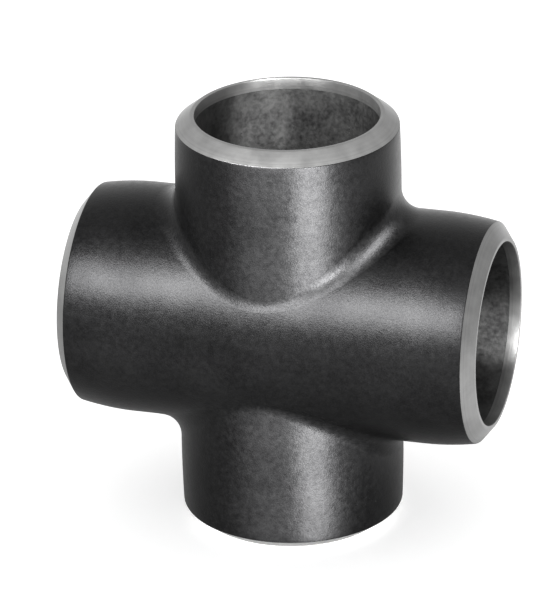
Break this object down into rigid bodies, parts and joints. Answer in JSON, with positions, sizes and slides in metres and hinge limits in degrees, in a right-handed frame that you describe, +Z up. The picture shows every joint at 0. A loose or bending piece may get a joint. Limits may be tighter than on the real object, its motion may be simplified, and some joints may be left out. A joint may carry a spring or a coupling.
{
  "type": "butt-weld pipe cross",
  "caption": "Straight steel pipe cross with four equal plain legs, blended saddle joints and bevelled ends for butt welding.",
  "frame": {"origin": "the point where the axes of the run and the two branches cross", "axes": "+X along the run to its right end, +Z up the upper branch, +Y to the back"},
  "size_m": [0.172, 0.1002, 0.172],
  "materials": {
    "dark_steel": "thin black mill oxide and varnish on forged and ground steel, satin",
    "weld_metal": "ground and dressed weld metal under the same thin black coat",
    "machined_end": "bare lathe-turned steel, matt"
  },
  "bodies": {
    "root": {"run_pipe": "dark_steel", "upper_branch": "dark_steel", "lower_branch": "dark_steel", "upper_root_weld": "weld_metal", "lower_root_weld": "weld_metal", "upper_fillet_weld": "weld_metal", "lower_fillet_weld": "weld_metal"}
  },
  "joints": []
}
